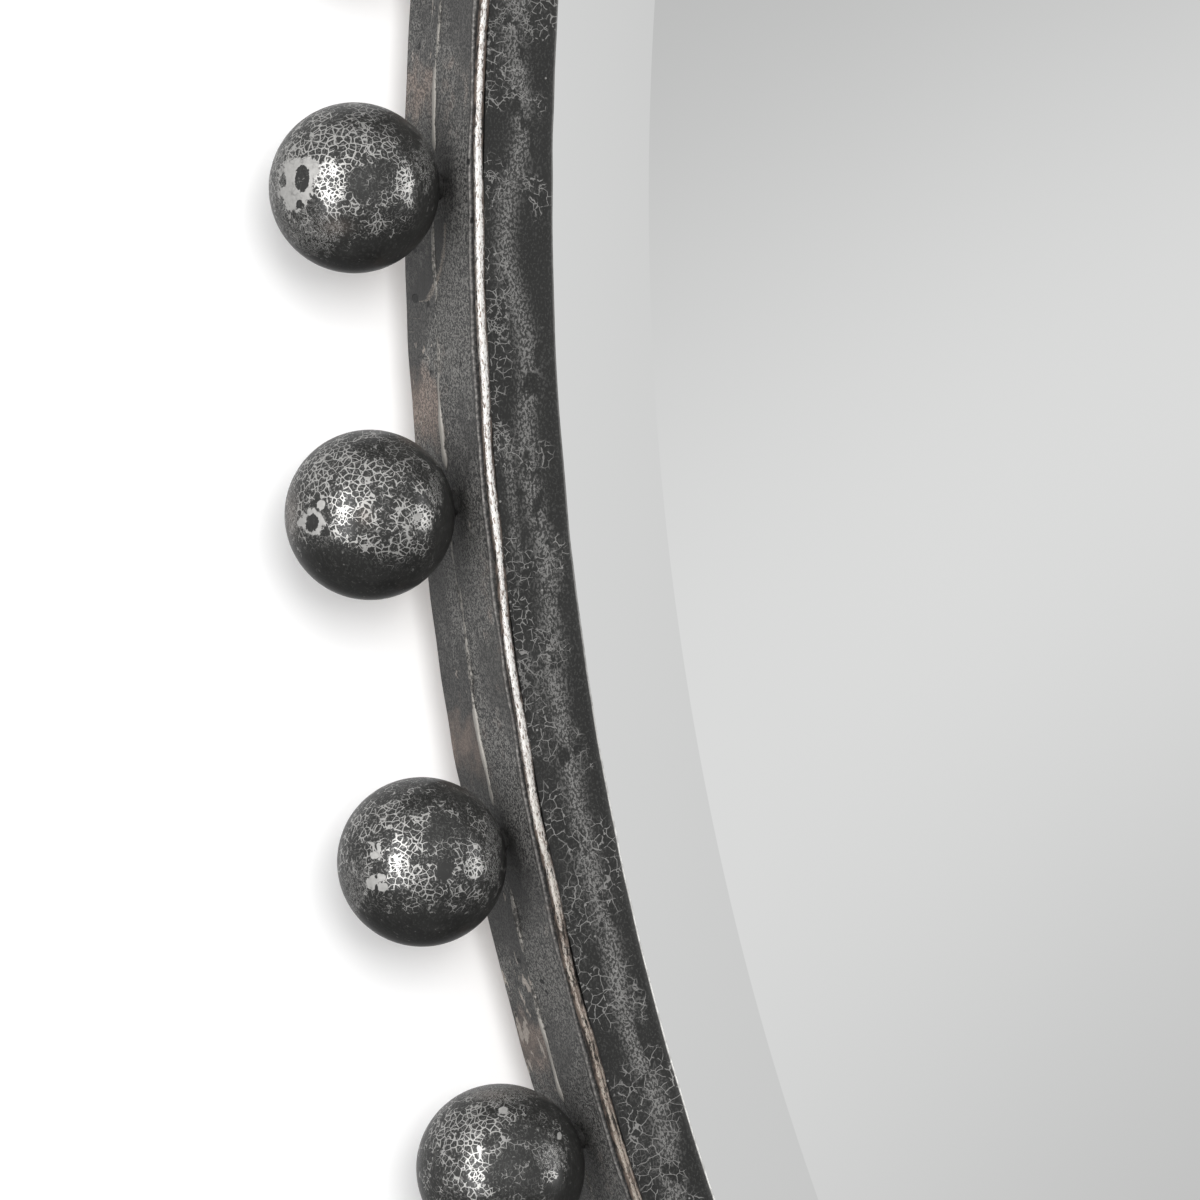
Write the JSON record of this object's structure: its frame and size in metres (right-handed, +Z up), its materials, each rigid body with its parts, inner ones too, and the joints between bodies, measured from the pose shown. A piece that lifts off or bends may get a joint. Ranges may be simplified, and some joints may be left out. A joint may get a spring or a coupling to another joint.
{
  "type": "round wall mirror",
  "caption": "Round bevelled wall mirror in a deep welded iron frame, with steel balls set round the side band and wire rings for hanging behind.",
  "frame": {"origin": "on the mirror's round axis, halfway between the foremost crest of the edge bead and the wall plane of the bumpers", "axes": "+Y towards the wall, the glass faces -Y, +Z up, +X to the right when facing the glass"},
  "size_m": [0.9636, 0.0308, 0.9636],
  "materials": {
    "crackle_paint": "dark paint with a fine silver crackle and worn patches",
    "crackle_ball": "dark crackle paint over bright steel, rubbed through in places",
    "rubbed_edge": "paint rubbed through to bright and warm steel",
    "mirror": "polished silvered glass, bevelled edge",
    "silvering": "silver coat under grey protective paint",
    "black_rubber": "matt",
    "grey_rubber": "soft, matt",
    "fibreboard": "smooth brown fibreboard",
    "bare_steel": "thin dark primer over steel",
    "zinc_steel": "zinc plated wire and tube"
  },
  "bodies": {
    "mirror_frame": {"backing_board": "fibreboard", "ball_pair_01": "crackle_ball", "ball_pair_02": "crackle_ball", "ball_pair_03": "crackle_ball", "ball_pair_04": "crackle_ball", "ball_pair_05": "crackle_ball", "ball_pair_06": "crackle_ball", "ball_pair_07": "crackle_ball", "ball_pair_08": "crackle_ball", "ball_pair_09": "crackle_ball", "ball_pair_10": "crackle_ball", "ball_pair_11": "crackle_ball", "ball_pair_12": "crackle_ball", "ball_pair_13": "crackle_ball", "ball_pair_14": "crackle_ball", "ball_pair_15": "crackle_ball", "ball_pair_16": "crackle_ball", "ball_pair_17": "crackle_ball", "ball_pair_18": "crackle_ball", "ball_pair_19": "crackle_ball", "ball_pair_20": "crackle_ball", "ball_pair_21": "crackle_ball", "ball_pair_22": "crackle_ball", "ball_pair_23": "crackle_ball", "ball_pair_24": "crackle_ball", "ball_pair_25": "crackle_ball", "ball_pair_26": "crackle_ball", "ball_pair_27": "crackle_ball", "ball_pair_28": "crackle_ball", "ball_pair_29": "crackle_ball", "ball_pair_30": "crackle_ball", "ball_welds": "crackle_paint", "bumper_plates": "bare_steel", "edge_bead": "rubbed_edge", "face_ring": "crackle_paint", "face_tacks": "bare_steel", "front_band": "crackle_paint", "glazing_gasket": "black_rubber", "hanger_plate_left": "bare_steel", "hanger_plate_right": "bare_steel", "mirror_glass": "mirror", "rear_band": "crackle_paint", "retaining_tabs": "bare_steel", "ring_sleeve_left": "zinc_steel", "ring_sleeve_right": "zinc_steel", "seam_weld": "rubbed_edge", "setting_blocks": "black_rubber", "silver_coat": "silvering", "sleeve_welds": "bare_steel", "wall_bumpers": "grey_rubber"},
    "left_hanging_ring": {"d_ring_left": "zinc_steel"},
    "right_hanging_ring": {"d_ring_right": "zinc_steel"}
  },
  "joints": [
    {"name": "left_ring_swing", "type": "hinge", "parent": "mirror_frame", "child": "left_hanging_ring", "pos_m": [-0.2432, 0.0094, 0.34732], "axis": [1, 0, 0], "range_deg": [0, 180]},
    {"name": "right_ring_swing", "type": "hinge", "parent": "mirror_frame", "child": "right_hanging_ring", "pos_m": [0.2432, 0.0094, 0.34732], "axis": [1, 0, 0], "range_deg": [0, 180]}
  ]
}
